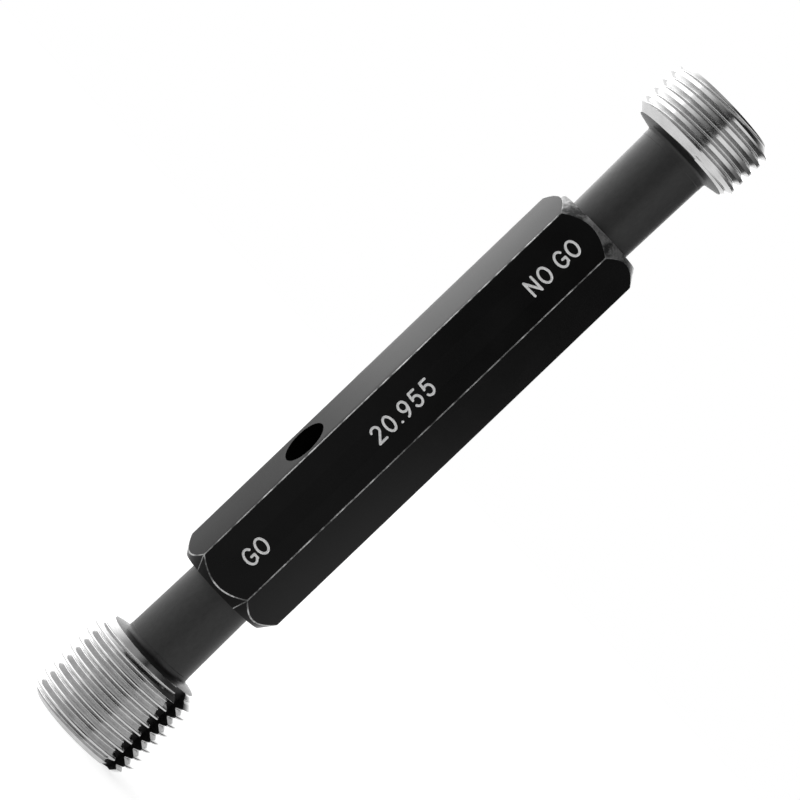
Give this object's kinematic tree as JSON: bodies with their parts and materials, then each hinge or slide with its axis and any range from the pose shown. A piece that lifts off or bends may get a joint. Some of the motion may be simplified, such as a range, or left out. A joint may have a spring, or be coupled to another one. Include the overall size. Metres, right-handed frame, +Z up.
{
  "type": "thread plug gauge",
  "caption": "Double-ended screw plug gauge: a black hexagon handle with a GO threaded plug in one end and a shorter NO-GO threaded plug in the other.",
  "frame": {"origin": "on the gauge's axis, in the front face of the GO member, which it stands on", "axes": "+Z up the gauge's axis towards the NO-GO member, -Y out of the marked flat of the handle"},
  "size_m": [0.021, 0.021, 0.1392],
  "materials": {
    "handle": "blackened steel, satin, with bright worn edges",
    "go_plug": "ground tool steel on the thread, dark satin oxide on the neck",
    "nogo_plug": "ground tool steel on the thread, dark satin oxide on the neck"
  },
  "bodies": {
    "root": {"handle": "handle", "go_plug": "go_plug", "nogo_plug": "nogo_plug"}
  },
  "joints": []
}
